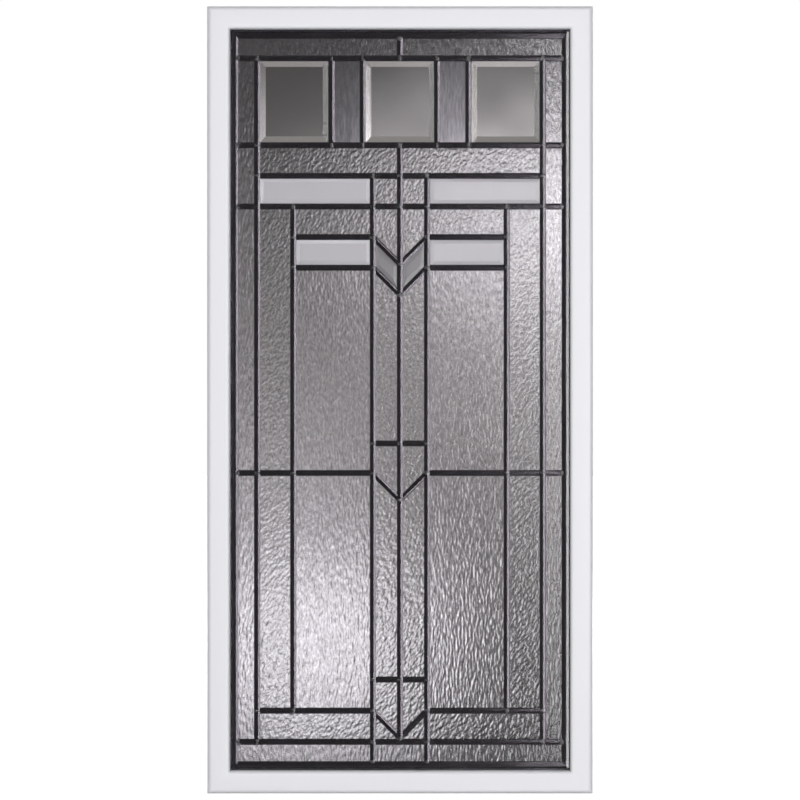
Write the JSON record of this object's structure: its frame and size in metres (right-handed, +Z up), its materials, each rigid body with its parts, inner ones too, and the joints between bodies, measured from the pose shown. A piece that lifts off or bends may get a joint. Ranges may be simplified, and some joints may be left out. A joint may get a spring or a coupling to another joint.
{
  "type": "leaded glass door insert",
  "caption": "Rectangular door glazing insert: came lattice with textured and bevelled glass, sealed between clear panes in a white moulded frame.",
  "frame": {"origin": "centre of the glass, half way through the door's thickness", "axes": "+Z up the door, +X to the right seen from the street side, -Y out of the street side face"},
  "size_m": [0.618, 0.0636, 1.262],
  "materials": {
    "frame_plastic": "satin white moulding",
    "plug_plastic": "satin white",
    "screw_steel": "zinc plated",
    "clear_pane": "clear float",
    "foam_tape": "matt foam",
    "spacer_metal": "mill",
    "sealant": "matt black",
    "came_metal": "black patina, crowned on both faces",
    "bevelled_glass": "clear, ground and polished bevels",
    "smooth_glass": "grey, lightly streaked",
    "rain_glass": "rain texture, vertical streaks",
    "hammered_glass": "granite texture, fine ripples"
  },
  "bodies": {
    "root": {"border_came_bottom": "came_metal", "border_came_left": "came_metal", "border_came_right": "came_metal", "border_came_top": "came_metal", "came_lattice": "came_metal", "edge_sealant": "sealant", "frame_screws": "screw_steel", "front_frame": "frame_plastic", "front_glazing_tape": "foam_tape", "front_pane": "clear_pane", "front_spacer_bar": "spacer_metal", "glass_bevel_square_left": "bevelled_glass", "glass_bevel_square_middle": "bevelled_glass", "glass_bevel_square_right": "bevelled_glass", "glass_bottom_strip_left": "rain_glass", "glass_bottom_strip_middle": "rain_glass", "glass_bottom_strip_right": "rain_glass", "glass_foot_strip_left": "hammered_glass", "glass_foot_strip_right": "hammered_glass", "glass_head_strip_left": "hammered_glass", "glass_head_strip_right": "hammered_glass", "glass_lower_inner_left": "hammered_glass", "glass_lower_inner_right": "hammered_glass", "glass_lower_panel_left": "rain_glass", "glass_lower_panel_right": "rain_glass", "glass_lower_side_left": "rain_glass", "glass_lower_side_right": "rain_glass", "glass_panel_bevel_left": "bevelled_glass", "glass_panel_bevel_right": "bevelled_glass", "glass_panel_head_left": "hammered_glass", "glass_panel_head_right": "hammered_glass", "glass_post_bevel_pair": "bevelled_glass", "glass_post_cap_pair": "hammered_glass", "glass_post_foot_pair": "hammered_glass", "glass_post_head_pair": "hammered_glass", "glass_post_lower_pair": "hammered_glass", "glass_post_middle_pair": "hammered_glass", "glass_post_toe_pair": "hammered_glass", "glass_post_upper_pair": "hammered_glass", "glass_shoulder_bevel_left": "bevelled_glass", "glass_shoulder_bevel_right": "bevelled_glass", "glass_shoulder_side_left": "rain_glass", "glass_shoulder_side_right": "rain_glass", "glass_smooth_strip_left": "smooth_glass", "glass_smooth_strip_right": "smooth_glass", "glass_square_row_side_left": "rain_glass", "glass_square_row_side_right": "rain_glass", "glass_top_strip_left": "rain_glass", "glass_top_strip_right": "rain_glass", "glass_upper_inner_left": "hammered_glass", "glass_upper_inner_right": "hammered_glass", "glass_upper_panel_left": "rain_glass", "glass_upper_panel_right": "rain_glass", "glass_upper_side_left": "rain_glass", "glass_upper_side_right": "rain_glass", "rear_frame": "frame_plastic", "rear_glazing_tape": "foam_tape", "rear_pane": "clear_pane", "rear_spacer_bar": "spacer_metal", "screw_plugs": "plug_plastic"}
  },
  "joints": []
}
